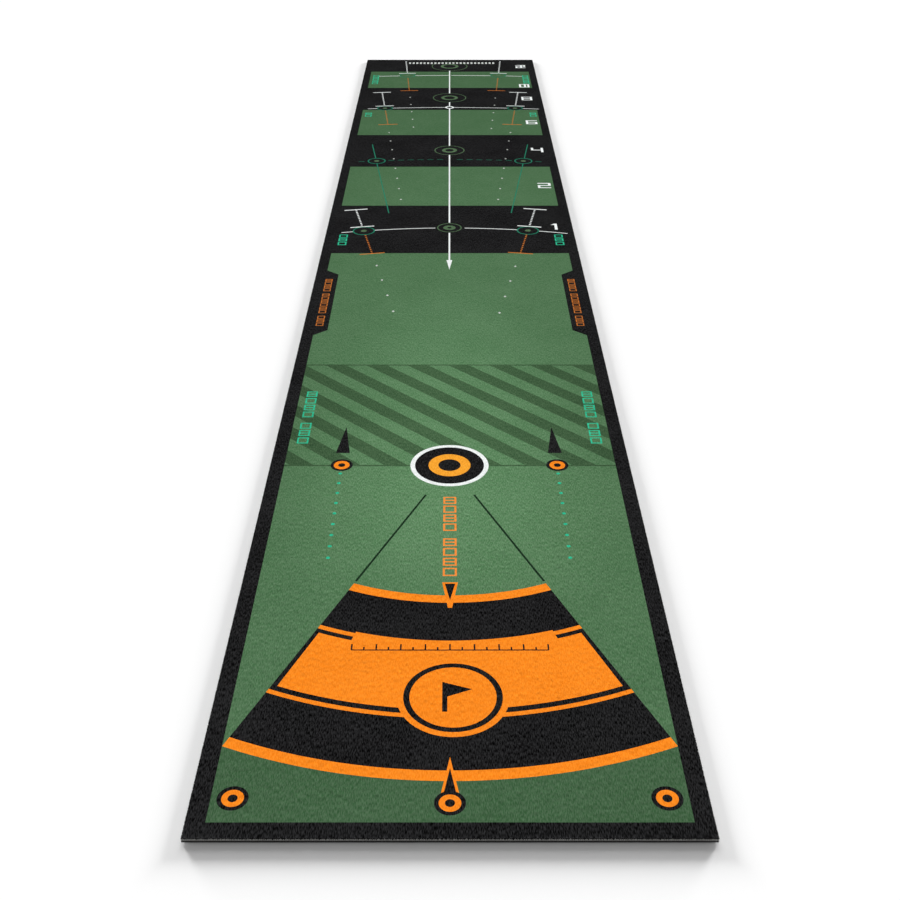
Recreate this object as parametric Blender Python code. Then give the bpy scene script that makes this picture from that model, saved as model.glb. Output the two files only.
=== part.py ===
"""Practice putting mat: a roll-out strip of cut pile on a rubber sheet, lying flat.

The mat is three layers: a rubber sheet, a thin primary cloth, and cut pile tufted into the cloth.
The pile is dyed in areas, and the tufts of each dyed area are one solid here, because no tuft crosses
from one area to the next. +Z is up, +Y runs along the mat from the player's end to the far end, and
the origin is in the middle of the underside. Units are metres.
"""

import math

import bmesh
import bpy
import numpy as np

# Overall sizes
LENGTH = 3.000
WIDTH = 0.500
RUBBER_THICK = 0.0024
CLOTH_THICK = 0.0004
PILE_HEIGHT = 0.0022
LAYER_GAP = 0.0002  # between two bonded layers
DYE_GAP = 0.0003  # between the tufts of two neighbouring areas

# Lengths along the mat, counted from the player's edge
BORDER = 0.0195  # black strip at the player's edge and down both sides
TARGET_S = 0.659  # middle of the target, where the striped field starts
STRIPED_LENGTH = 0.3055
OPEN_LENGTH = 0.4765  # plain green from the stripes to the first black band
FAR_ZONES = (
    ("band_1", 0.269),
    ("green_1", 0.262),
    ("band_2", 0.250),
    ("green_2", 0.226),
    ("band_3", 0.224),
    ("green_3", 0.182),
)  # in order, and band_end takes what is left

# Black tabs that stand in from the side borders
TAB_START = 1.075
TAB_LENGTH = 0.280
TAB_DEPTH = 0.0225
TAB_CHAMFER = 0.0195

# Target and the small ball marks
TARGET_RADII = (0.0154, 0.0292, 0.0479, 0.05435)  # black, orange, black, white
TARGET_X = -0.0007  # the print sits a little to the left of the cloth's middle
MARK_RADII = (0.0049, 0.0109, 0.0154)  # black core, orange ring, black ring
GATE_HALF_WIDTH = 0.150  # marks beside the target
CENTRE_MARK_S = 0.0433
CORNER_MARK_S = 0.0493
CORNER_MARK_INSET = 0.0212  # from the border's inner edge
GATE_SPIKE_START = 0.0325  # from the mark's middle
GATE_SPIKE_LENGTH = 0.075
GATE_SPIKE_WIDTH = 0.0198
GATE_SPIKE_X = -0.0009  # to the left of their marks

# Fan: bands on arcs about the target's middle, listed from the player's end
FAN_OUTER = 0.5875
RIM = 0.014
NEAR_BAND = 0.0725
ORANGE_LINE = 0.006
BLACK_LINE = 0.0075
PANEL = 0.096
TOP_BLACK_LINE = 0.0065
TOP_ORANGE_LINE = 0.0065
FAR_BAND = 0.071
PANEL_STEP = 0.0025  # how far the panel's raised middle stands into the far band
SIDE_LINE = math.radians(0.72)
SHOULDER_LEFT = math.radians(6.6)  # from the fan's side to the raised middle
SHOULDER_RIGHT = math.radians(5.0)

# Round badge on the panel
BADGE_INSET = 0.020  # its middle, inside the panel's near edge
BADGE_BACK = 0.060
BADGE_RING = 0.0530
BADGE_FIELD = 0.0464
BADGE_X = 0.0032  # printed a little to the right of the centre line
FLAG_HEIGHT = 0.046
FLAG_POLE = 0.0055

# Orange-edged arrows on the centre line, which cross the fan's two rims
EDGE_WIDTH = 0.0027
AIM_REACH = 0.0095  # tip past the far rim
AIM_LENGTH = 0.049
AIM_WIDTH = 0.019
AIM_TIP_WIDTH = 0.005  # the orange edge ends blunt
CENTRE_SPIKE_REACH = 0.0185  # tip past the near rim
CENTRE_SPIKE_WIDTH = 0.0223  # at the centre mark's middle

# White line down the middle, broken at the distance rings
LINE_WIDTH = 0.0032
LINE_X = -0.0012
LINE_TIP_S = 1.3585
LINE_HEAD = 0.0465
LINE_HEAD_WIDTH = 0.011
RINGS = ((1.579, 0.0287), (2.097, 0.036), (2.569, 0.044), (2.919, 0.052))  # middle, radius

CHORD = 0.0045  # longest straight step round a circle, and the marks keep at least 24 steps
LEAST_STEPS = 24
FAN_STEP = math.radians(1.5)  # on the fan's arcs

HALF_FIELD = WIDTH / 2 - BORDER
HALF_FAN = math.asin(HALF_FIELD / FAN_OUTER)  # the fan's near corners meet the side borders
PILE_BOTTOM = RUBBER_THICK + LAYER_GAP + CLOTH_THICK + LAYER_GAP
PILE_TOP = PILE_BOTTOM + PILE_HEIGHT
HALF_GAP = DYE_GAP / 2

DYES = {
    "black": (0.0130, 0.0130, 0.0137),
    "green": (0.1070, 0.2120, 0.1110),
    "orange": (0.9470, 0.2620, 0.0150),
    "white": (0.8900, 0.9200, 0.9100),
}

for old in list(bpy.data.objects):
    bpy.data.objects.remove(old)


def material(name, colour, roughness):
    """A Principled material of one linear colour."""
    made = bpy.data.materials.get(name) or bpy.data.materials.new(name)
    made.use_nodes = True
    shader = made.node_tree.nodes["Principled BSDF"]
    shader.inputs["Base Color"].default_value = (*colour, 1.0)
    shader.inputs["Roughness"].default_value = roughness
    shader.inputs["Metallic"].default_value = 0.0
    return made


def anticlockwise(outline):
    """The outline's points, turned round if its shoelace area is negative."""
    points = np.array(outline, float)
    x, s = points.T
    area = np.dot(x, np.roll(s, -1)) - np.dot(s, np.roll(x, -1))
    return points if area > 0 else points[::-1]


def grown(outline, by):
    """Each edge moved outwards by a distance, with the corners mitred; a minus shrinks the outline."""
    points = anticlockwise(outline)
    ahead = np.roll(points, -1, axis=0) - points
    ahead /= np.linalg.norm(ahead, axis=1)[:, None]
    after = np.stack([ahead[:, 1], -ahead[:, 0]], axis=1)
    before = np.roll(after, 1, axis=0)
    mitre = (after + before) / (1 + (after * before).sum(axis=1))[:, None]
    return points + by * mitre


def prism(name, outline, bottom, top):
    """A flat outline, across and along the mat, stood up between two heights."""
    mesh = bpy.data.meshes.new(name)
    shape = bmesh.new()
    corners = [shape.verts.new((x, s - LENGTH / 2, bottom)) for x, s in anticlockwise(outline)]
    base = shape.faces.new(corners)
    raised = bmesh.ops.extrude_face_region(shape, geom=[base])["geom"]
    tops = [item for item in raised if isinstance(item, bmesh.types.BMVert)]
    bmesh.ops.translate(shape, verts=tops, vec=(0, 0, top - bottom))
    bmesh.ops.recalc_face_normals(shape, faces=shape.faces)
    shape.to_mesh(mesh)
    shape.free()
    made = bpy.data.objects.new(name, mesh)
    bpy.context.scene.collection.objects.link(made)
    return made


def pile(name, outline, dye):
    """The tufts inside one dyed outline, held half a gap back from it."""
    made = prism(name, grown(outline, -HALF_GAP), PILE_BOTTOM, PILE_TOP)
    made.data.materials.append(material("pile_" + dye, DYES[dye], 0.95))
    return made


def guide(outline, by, clear):
    """A hidden prism that another shape is cut or joined with."""
    tool = prism("guide", grown(outline, by), PILE_BOTTOM - clear, PILE_TOP + clear)
    tool.hide_render = True
    tool.display_type = "WIRE"
    return tool


def combine(piece, tool, operation):
    """A live Boolean on the piece with the EXACT solver."""
    step = piece.modifiers.new(operation.lower(), "BOOLEAN")
    step.operation = operation
    step.solver = "EXACT"
    step.object = tool


def cut(piece, *outlines):
    """Other areas taken out of a piece, each with half a gap round it."""
    for outline in outlines:
        combine(piece, guide(outline, HALF_GAP, PILE_HEIGHT), "DIFFERENCE")


def add(piece, outline):
    """An area of the same dye joined to a piece."""
    combine(piece, guide(outline, -HALF_GAP, 0.0), "UNION")


def box(x0, x1, s0, s1):
    return [(x0, s0), (x1, s0), (x1, s1), (x0, s1)]


def disc(x, s, radius):
    """A circle as a ring of equal steps."""
    count = max(LEAST_STEPS, round(2 * math.pi * radius / CHORD))
    turn = np.arange(count) * 2 * math.pi / count
    return np.stack([x + radius * np.cos(turn), s + radius * np.sin(turn)], axis=1)


def fan_arc(radius, start, end):
    """Points at one radius from the target's middle, from one angle to another.

    Angle 0 points at the player, so a point is (r sin a, target - r cos a).
    """
    count = max(2, round(abs(end - start) / FAN_STEP) + 1)
    turn = np.linspace(start, end, count)
    return np.stack([radius * np.sin(turn), TARGET_S - radius * np.cos(turn)], axis=1)


def fan_band(inner, outer, start=-HALF_FAN, end=HALF_FAN):
    """The area between two radii and two angles."""
    return np.concatenate([fan_arc(outer, start, end), fan_arc(inner, end, start)])


def triangle(x, base_s, tip_s, width):
    return [(x - width / 2, base_s), (x + width / 2, base_s), (x, tip_s)]


def mark(name, x, s):
    """A round ball mark: black core, orange ring and black ring, as three pieces."""
    core, middle, outer = [disc(x, s, radius) for radius in MARK_RADII]
    pile(name + "_core", core, "black")
    cut(pile(name + "_orange", middle, "orange"), core)
    cut(pile(name + "_edge", outer, "black"), middle)
    return outer


# Rubber sheet and primary cloth
rubber = prism("rubber_backing", box(-WIDTH / 2, WIDTH / 2, 0, LENGTH), 0.0, RUBBER_THICK)
rubber.data.materials.append(material("rubber", (0.018, 0.018, 0.019), 0.85))
cloth_bottom = RUBBER_THICK + LAYER_GAP
cloth = prism(
    "primary_cloth", box(-WIDTH / 2, WIDTH / 2, 0, LENGTH), cloth_bottom, cloth_bottom + CLOTH_THICK
)
cloth.data.materials.append(material("undyed_cloth", (0.33, 0.33, 0.33), 0.9))

# Ball marks and the target, which the areas round them make room for
corner_x = HALF_FIELD - CORNER_MARK_INSET
centre_mark = mark("mark_centre", 0, CENTRE_MARK_S)
corner_marks = [mark("mark_corner_left", -corner_x, CORNER_MARK_S)]
corner_marks.append(mark("mark_corner_right", corner_x, CORNER_MARK_S))
gate_left = mark("mark_gate_left", TARGET_X - GATE_HALF_WIDTH, TARGET_S)
gate_right = mark("mark_gate_right", TARGET_X + GATE_HALF_WIDTH, TARGET_S)

target = [disc(TARGET_X, TARGET_S, radius) for radius in TARGET_RADII]
pile("target_core", target[0], "black")
for ring, dye in ((1, "orange"), (2, "black"), (3, "white")):
    cut(pile(f"target_{dye}_ring", target[ring], dye), target[ring - 1])

# Fan, from the target's side to the player's
rim_far_inner = FAN_OUTER - 2 * RIM - NEAR_BAND - ORANGE_LINE - BLACK_LINE - PANEL
rim_far_inner -= TOP_BLACK_LINE + TOP_ORANGE_LINE + FAR_BAND
far_band_inner = rim_far_inner + RIM
top_line = far_band_inner + FAR_BAND
top_black = top_line + TOP_ORANGE_LINE
panel_inner = top_black + TOP_BLACK_LINE
panel_outer = panel_inner + PANEL
low_orange = panel_outer + BLACK_LINE
near_band_inner = low_orange + ORANGE_LINE
rim_near_inner = near_band_inner + NEAR_BAND
raised_start = -HALF_FAN + SHOULDER_LEFT
raised_end = HALF_FAN - SHOULDER_RIGHT
raised_inner = top_line - PANEL_STEP

aim_tip_s = TARGET_S - far_band_inner - AIM_REACH
aim_base_s = aim_tip_s + AIM_LENGTH
aim_edge = [
    (-AIM_WIDTH / 2, aim_base_s),
    (AIM_WIDTH / 2, aim_base_s),
    (AIM_TIP_WIDTH / 2, aim_tip_s),
    (-AIM_TIP_WIDTH / 2, aim_tip_s),
]
aim_core = grown(triangle(0, aim_base_s, aim_tip_s, AIM_WIDTH), -EDGE_WIDTH)
spike_tip_s = TARGET_S - rim_near_inner + CENTRE_SPIKE_REACH
spike_edge = triangle(0, CENTRE_MARK_S, spike_tip_s, CENTRE_SPIKE_WIDTH)
spike_core = grown(spike_edge, -EDGE_WIDTH)
badge_s = TARGET_S - panel_outer + BADGE_INSET
badge_back = disc(BADGE_X, badge_s, BADGE_BACK)
badge_ring = disc(BADGE_X, badge_s, BADGE_RING)
badge_field = disc(BADGE_X, badge_s, BADGE_FIELD)

rim_far = pile("fan_rim_far", fan_band(rim_far_inner, far_band_inner), "orange")
add(rim_far, aim_edge)
cut(rim_far, aim_core)
pile("aim_arrow", aim_core, "black")
far_band = pile("fan_band_far", fan_band(far_band_inner, top_line), "black")
raised = fan_band(raised_inner, panel_inner, raised_start, raised_end)
cut(far_band, aim_edge, raised)

panel_outline = np.concatenate(
    [
        fan_arc(near_band_inner, -HALF_FAN, HALF_FAN),
        fan_arc(top_line, HALF_FAN, raised_end),
        fan_arc(raised_inner, raised_end, raised_start),
        fan_arc(top_line, raised_start, -HALF_FAN),
    ]
)
panel = pile("fan_panel", panel_outline, "orange")
left_bracket = np.concatenate(
    [
        fan_arc(top_black, raised_start, -HALF_FAN),
        fan_arc(low_orange, -HALF_FAN, 0),
        fan_arc(panel_outer, 0, -HALF_FAN + SIDE_LINE),
        fan_arc(panel_inner, -HALF_FAN + SIDE_LINE, raised_start),
    ]
)
right_bracket = np.concatenate(
    [
        fan_arc(top_black, raised_end, HALF_FAN),
        fan_arc(low_orange, HALF_FAN, 0),
        fan_arc(panel_outer, 0, HALF_FAN - SIDE_LINE),
        fan_arc(panel_inner, HALF_FAN - SIDE_LINE, raised_end),
    ]
)
for side, bracket in (("left", left_bracket), ("right", right_bracket)):
    cut(pile("fan_bracket_" + side, bracket, "black"), badge_back)
    cut(panel, bracket)
add(panel, badge_back)
cut(panel, badge_ring)
cut(pile("badge_ring", badge_ring, "black"), badge_field)

near_band = pile("fan_band_near", fan_band(near_band_inner, rim_near_inner), "black")
cut(near_band, badge_back, spike_edge)
rim_near = pile("fan_rim_near", fan_band(rim_near_inner, FAN_OUTER), "orange")
add(rim_near, spike_edge)
cut(rim_near, spike_core, centre_mark)
cut(pile("centre_spike", spike_core, "black"), centre_mark)

# Badge mark: a flag on a pole
pole_foot = badge_s - FLAG_HEIGHT / 2
pole_top = badge_s + FLAG_HEIGHT / 2
pole_x = BADGE_X - FLAG_HEIGHT / 4
flag = [
    (pole_x, pole_foot),
    (pole_x + FLAG_POLE, pole_foot),
    (pole_x + FLAG_POLE, badge_s),
    (pole_x + FLAG_HEIGHT * 0.7, badge_s + FLAG_HEIGHT / 4),
    (pole_x, pole_top),
]
cut(pile("badge_field", badge_field, "orange"), flag)
pile("badge_flag", flag, "black")

# Black border, tabs and bands
striped_end = TARGET_S + STRIPED_LENGTH
open_end = striped_end + OPEN_LENGTH
zones = []
zone_start = open_end
for zone_name, zone_length in FAR_ZONES:
    zones.append((zone_name, zone_start, zone_start + zone_length))
    zone_start += zone_length
end_start = zone_start

pile("border_near", box(-WIDTH / 2, WIDTH / 2, 0, BORDER), "black")
tab_end = TAB_START + TAB_LENGTH
for side, way in (("left", -1), ("right", 1)):
    edge = [
        (way * WIDTH / 2, BORDER),
        (way * HALF_FIELD, BORDER),
        (way * HALF_FIELD, TAB_START),
        (way * (HALF_FIELD - TAB_DEPTH), TAB_START + TAB_CHAMFER),
        (way * (HALF_FIELD - TAB_DEPTH), tab_end - TAB_CHAMFER),
        (way * HALF_FIELD, tab_end),
        (way * HALF_FIELD, end_start),
        (way * WIDTH / 2, end_start),
    ]
    pile("border_" + side, edge, "black")
end_band = pile("band_end", box(-WIDTH / 2, WIDTH / 2, end_start, LENGTH), "black")

# White line, in stretches between the distance rings
line_left, line_right = LINE_X - LINE_WIDTH / 2, LINE_X + LINE_WIDTH / 2
line_start = LINE_TIP_S + LINE_HEAD
stretches = []
for ring_s, ring_radius in RINGS:
    stretches.append(box(line_left, line_right, line_start, ring_s - ring_radius))
    line_start = ring_s + ring_radius
arrow_head = triangle(LINE_X, LINE_TIP_S + LINE_HEAD, LINE_TIP_S, LINE_HEAD_WIDTH)
first_line = np.array(
    [arrow_head[0], arrow_head[2], arrow_head[1]]
    + [(line_right, stretches[0][0][1]), (line_right, stretches[0][2][1])]
    + [(line_left, stretches[0][2][1]), (line_left, stretches[0][0][1])]
)
stretches[0] = first_line
for number, stretch in enumerate(stretches, 1):
    pile(f"centre_line_{number}", stretch, "white")

for zone_name, start, end in zones:
    if zone_name.startswith("band"):
        band = pile(zone_name, box(-HALF_FIELD, HALF_FIELD, start, end), "black")
        cut(band, *stretches)
        continue
    for side, way in (("left", -1), ("right", 1)):
        outline = box(LINE_X + way * LINE_WIDTH / 2, way * HALF_FIELD, start, end)
        pile(f"{zone_name}_{side}", outline, "green")
cut(end_band, stretches[-1])

# Green field round the fan, the target and the tabs
near_corners = [(HALF_FIELD, BORDER), (-HALF_FIELD, BORDER)]
near_green = np.concatenate([near_corners, fan_arc(FAN_OUTER, -HALF_FAN, HALF_FAN)])
cut(pile("green_near", near_green, "green"), centre_mark, spike_edge, *corner_marks)

for side, way, gate in (("left", -1, gate_left), ("right", 1, gate_right)):
    outline = [
        (way * HALF_FIELD, TARGET_S - FAN_OUTER * math.cos(HALF_FAN)),
        (way * HALF_FIELD, TARGET_S),
        (0, TARGET_S),
    ]
    cut(pile("green_side_" + side, outline, "green"), target[-1], gate)

sector = np.concatenate([[(0, TARGET_S)], fan_arc(rim_far_inner, -HALF_FAN, HALF_FAN)])
cut(pile("green_sector", sector, "green"), target[-1], aim_edge)

striped = pile("striped_field", box(-HALF_FIELD, HALF_FIELD, TARGET_S, striped_end), "green")
cut(striped, target[-1], gate_left, gate_right)
for side, way in (("left", -1), ("right", 1)):
    base = TARGET_S + GATE_SPIKE_START
    spike_x = TARGET_X + way * GATE_HALF_WIDTH + GATE_SPIKE_X
    spike = triangle(spike_x, base, base + GATE_SPIKE_LENGTH, GATE_SPIKE_WIDTH)
    pile("gate_spike_" + side, spike, "black")
    cut(striped, spike)

open_green = [
    (-HALF_FIELD, striped_end),
    (HALF_FIELD, striped_end),
    (HALF_FIELD, TAB_START),
    (HALF_FIELD - TAB_DEPTH, TAB_START + TAB_CHAMFER),
    (HALF_FIELD - TAB_DEPTH, tab_end - TAB_CHAMFER),
    (HALF_FIELD, tab_end),
    (HALF_FIELD, open_end),
    (-HALF_FIELD, open_end),
    (-HALF_FIELD, tab_end),
    (-HALF_FIELD + TAB_DEPTH, tab_end - TAB_CHAMFER),
    (-HALF_FIELD + TAB_DEPTH, TAB_START + TAB_CHAMFER),
    (-HALF_FIELD, TAB_START),
]
cut(pile("green_open", open_green, "green"), first_line)
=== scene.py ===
import math

import bpy
import numpy as np
from mathutils.geometry import delaunay_2d_cdt
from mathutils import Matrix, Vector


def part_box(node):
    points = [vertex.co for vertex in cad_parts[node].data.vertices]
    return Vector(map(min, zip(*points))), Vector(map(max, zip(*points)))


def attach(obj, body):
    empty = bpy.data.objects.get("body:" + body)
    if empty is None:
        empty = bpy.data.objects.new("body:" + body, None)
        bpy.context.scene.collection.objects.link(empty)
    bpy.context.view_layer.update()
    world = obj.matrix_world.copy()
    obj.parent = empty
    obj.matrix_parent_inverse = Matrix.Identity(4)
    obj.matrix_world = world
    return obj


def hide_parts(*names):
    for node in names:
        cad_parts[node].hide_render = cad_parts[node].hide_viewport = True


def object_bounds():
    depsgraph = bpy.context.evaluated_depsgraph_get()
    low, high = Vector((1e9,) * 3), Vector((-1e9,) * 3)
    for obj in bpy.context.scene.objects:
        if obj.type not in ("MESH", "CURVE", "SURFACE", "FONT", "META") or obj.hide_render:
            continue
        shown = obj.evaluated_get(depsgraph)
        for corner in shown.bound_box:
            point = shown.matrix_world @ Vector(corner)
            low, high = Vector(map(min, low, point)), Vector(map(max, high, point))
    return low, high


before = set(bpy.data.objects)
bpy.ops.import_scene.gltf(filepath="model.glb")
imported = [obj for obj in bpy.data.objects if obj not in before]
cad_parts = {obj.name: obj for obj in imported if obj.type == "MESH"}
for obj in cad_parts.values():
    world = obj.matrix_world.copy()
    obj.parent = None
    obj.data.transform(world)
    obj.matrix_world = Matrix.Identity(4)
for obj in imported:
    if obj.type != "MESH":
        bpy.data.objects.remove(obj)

cad_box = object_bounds()

# ---- Rubber sheet -------------------------------------------------------------------------
# A calendered sheet of black rubber, the full size of the mat, which keeps it from sliding.
# Its underside is pressed with a waffle of small pyramids, and its edges are cut with a knife.
SHEET_LOW, SHEET_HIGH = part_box("rubber_backing")
WIDTH = SHEET_HIGH.x - SHEET_LOW.x
LENGTH = SHEET_HIGH.y - SHEET_LOW.y
WAFFLE_PITCH = WIDTH / 45  # 45 pyramids across, 270 along
WAFFLE_DEPTH = 0.0006


def linear(colour):
    """An sRGB hex colour as linear red, green, blue and alpha."""
    srgb = np.array([int(colour[i : i + 2], 16) for i in (1, 3, 5)]) / 255
    light = np.where(srgb <= 0.04045, srgb / 12.92, ((srgb + 0.055) / 1.055) ** 2.4)
    return (*light.tolist(), 1.0)


def step(material, kind, inputs=None, **settings):
    """Adds a node with its settings; each input is a value, or the output that feeds it."""
    tree = material.node_tree
    made = tree.nodes.new(kind)
    for name, value in settings.items():
        setattr(made, name, value)
    for name, value in (inputs or {}).items():
        if isinstance(value, bpy.types.NodeSocket):
            tree.links.new(value, made.inputs[name])
        else:
            made.inputs[name].default_value = value
    return made


def finish_of(name):
    """An empty node material and its Principled shader."""
    material = bpy.data.materials.new(name)
    material.use_nodes = True
    return material, material.node_tree.nodes["Principled BSDF"]


def ramp(material, value, *stops):
    """A colour ramp over a value from 0 to 1; each stop is a place on it and a linear colour."""
    made = step(material, "ShaderNodeValToRGB", {"Fac": value})
    elements = made.color_ramp.elements
    for element, (position, colour) in zip(elements, (stops[0], stops[-1])):
        element.position = position
        element.color = colour
    for position, colour in stops[1:-1]:
        elements.new(position).color = colour
    return made.outputs["Color"]


def relief(material, shader, height, strength, distance):
    """Fine relief on a shader's normal: a height from 0 to 1 that stands a distance high."""
    inputs = {"Height": height, "Strength": strength, "Distance": distance}
    bumps = step(material, "ShaderNodeBump", inputs)
    material.node_tree.links.new(bumps.outputs["Normal"], shader.inputs["Normal"])


def vulcanised_rubber():
    """Vulcanised rubber: nearly black, dull, with a faint mottle of talc from the mould.

    The talc mottle is 6 mm across and the skin's grain 0.5 mm.
    """
    material, shader = finish_of("vulcanised_rubber")
    place = step(material, "ShaderNodeTexCoord").outputs["Object"]
    noise = "ShaderNodeTexNoise"
    talc = step(material, noise, {"Vector": place, "Scale": 1 / 0.006, "Detail": 4.0})
    skin = step(material, noise, {"Vector": place, "Scale": 1 / 0.0005, "Detail": 1.0})
    mottle = talc.outputs["Fac"]
    tone = ramp(material, mottle, (0.30, linear("#1b1b1c")), (0.80, linear("#2b2b2c")))
    rough = step(
        material, "ShaderNodeMapRange", {"Value": mottle, "To Min": 0.62, "To Max": 0.82}
    )
    relief(material, shader, skin.outputs["Fac"], 0.35, 0.0002)
    links = material.node_tree.links
    links.new(tone, shader.inputs["Base Color"])
    links.new(rough.outputs["Result"], shader.inputs["Roughness"])
    shader.inputs["IOR"].default_value = 1.52
    return material


def closed_slab(name, material, low, high, pitch, under, over):
    """A closed slab on a grid: its lower and upper faces are height functions of x and y.

    The grid's rim points are joined by four walls, and the faces wind outwards.
    """
    across = np.linspace(low.x, high.x, round((high.x - low.x) / pitch) + 1)
    along = np.linspace(low.y, high.y, round((high.y - low.y) / pitch) + 1)
    x, y = np.meshgrid(across, along, indexing="ij")
    count = x.size
    number = np.arange(count).reshape(x.shape)
    points = np.concatenate(
        [
            np.stack([x, y, under(x, y)], axis=-1).reshape(-1, 3),
            np.stack([x, y, over(x, y)], axis=-1).reshape(-1, 3),
        ]
    )
    a, b = number[:-1, :-1].ravel(), number[1:, :-1].ravel()
    c, d = number[1:, 1:].ravel(), number[:-1, 1:].ravel()
    lower = np.stack([a, d, c, b], axis=1)
    upper = np.stack([a, b, c, d], axis=1) + count
    rim = np.concatenate([number[:, 0], number[-1, 1:], number[-2::-1, -1], number[0, -2:0:-1]])
    ahead = np.roll(rim, -1)
    walls = np.stack([rim, ahead, ahead + count, rim + count], axis=1)
    return mesh_piece(name, material, points, np.concatenate([lower, upper, walls]))


def mesh_piece(name, material, points, faces, smooth=None, creases=None):
    """A mesh object from an array of points and an array of faces with equal corner counts.

    creases are pairs of points whose edge stays sharp where the faces on both sides are smooth.
    """
    mesh = bpy.data.meshes.new(name)
    mesh.vertices.add(len(points))
    mesh.vertices.foreach_set("co", np.asarray(points, np.float32).ravel())
    mesh.loops.add(faces.size)
    mesh.loops.foreach_set("vertex_index", faces.astype(np.int32).ravel())
    mesh.polygons.add(len(faces))
    sides = faces.shape[1]
    mesh.polygons.foreach_set("loop_start", np.arange(0, faces.size, sides, dtype=np.int32))
    if smooth is None:
        smooth = np.zeros(len(faces), bool)
    mesh.polygons.foreach_set("use_smooth", smooth)
    mesh.update(calc_edges=True)
    if creases is not None:
        edges = np.empty(len(mesh.edges) * 2, np.int32)
        mesh.edges.foreach_get("vertices", edges)
        size = len(points)
        found = np.sort(edges.reshape(-1, 2).astype(np.int64), axis=1) @ (size, 1)
        wanted = np.sort(creases.astype(np.int64), axis=1) @ (size, 1)
        sharp = mesh.attributes.new("sharp_edge", "BOOLEAN", "EDGE")
        sharp.data.foreach_set("value", np.isin(found, wanted))
    mesh.materials.append(material)
    piece = bpy.data.objects.new(name, mesh)
    bpy.context.scene.collection.objects.link(piece)
    return piece


def waffle(x, y):
    """Pyramids: the depth grows with the distance from each pyramid's middle, across or along."""
    cell_x = np.abs((x - SHEET_LOW.x) / WAFFLE_PITCH % 1 - 0.5) * 2
    cell_y = np.abs((y - SHEET_LOW.y) / WAFFLE_PITCH % 1 - 0.5) * 2
    return SHEET_LOW.z + WAFFLE_DEPTH * np.clip(np.maximum(cell_x, cell_y), 0, 1)


rubber = closed_slab(
    "rubber_sheet",
    vulcanised_rubber(),
    SHEET_LOW,
    SHEET_HIGH,
    WAFFLE_PITCH / 2,
    waffle,
    lambda x, y: np.full_like(x, SHEET_HIGH.z),
)
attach(rubber, "root")
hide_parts("rubber_backing")

# ---- Primary cloth ------------------------------------------------------------------------
# A thin plain-woven polyester cloth that the tufts are pushed through, bonded to the rubber.
# It isn't dyed, so its cut edge is part of the pale line round the mat.
CLOTH_LOW, CLOTH_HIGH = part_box("primary_cloth")
CLOTH_CELL = 0.010
CLOTH_WAVE = 0.00005
THREAD = 0.0010


def woven_polyester():
    """Undyed plain-woven polyester: pale grey, with threads at 1 mm and darker gaps.

    A wave texture's bands are 2 pi / 20 apart at a scale of 1.
    """
    material, shader = finish_of("woven_polyester")
    place = step(material, "ShaderNodeTexCoord").outputs["Object"]
    threads = {"Vector": place, "Scale": 2 * math.pi / THREAD / 20, "Distortion": 0.4}
    warp = step(material, "ShaderNodeTexWave", threads, bands_direction="X")
    weft = step(material, "ShaderNodeTexWave", threads, bands_direction="Y")
    weave = step(
        material,
        "ShaderNodeMath",
        {0: warp.outputs["Fac"], 1: weft.outputs["Fac"]},
        operation="MAXIMUM",
    )
    tone = ramp(material, weave.outputs["Value"], (0, linear("#6d6d6b")), (1, linear("#a9a9a6")))
    relief(material, shader, weave.outputs["Value"], 0.6, 0.0002)
    material.node_tree.links.new(tone, shader.inputs["Base Color"])
    shader.inputs["Roughness"].default_value = 0.9
    return material


def cloth_wave(height):
    """A faint waviness over the height, of two crossing sines 40 and 60 mm long."""
    return lambda x, y: height + CLOTH_WAVE * np.sin(x / 0.0064) * np.sin(y / 0.0095)


cloth = closed_slab(
    "woven_cloth",
    woven_polyester(),
    CLOTH_LOW,
    CLOTH_HIGH,
    CLOTH_CELL,
    cloth_wave(CLOTH_LOW.z),
    cloth_wave(CLOTH_HIGH.z),
)
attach(cloth, "root")
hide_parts("primary_cloth")

# ---- Row of cut tufts round the mat's edge ------------------------------------------------
# Short bundles of polyester yarn stand along the cut. The print wets only their tips, so the
# sides of the bundles stay undyed and show as a pale line under the black top.
PILE_LOW, PILE_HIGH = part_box("border_near")
PILE_BOTTOM = PILE_LOW.z
PILE_TOP = PILE_HIGH.z
TUFT_SPACING = 0.0019
TUFT_SIDES = 5
EDGE_INSET = 0.0006  # from the cut to the middle of a tuft
TUFT_RAISE = 0.00012  # a tuft's middle over its top ring
TIP_DEPTH = 0.0005  # how deep the dye goes
chance = np.random.default_rng(7)


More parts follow.
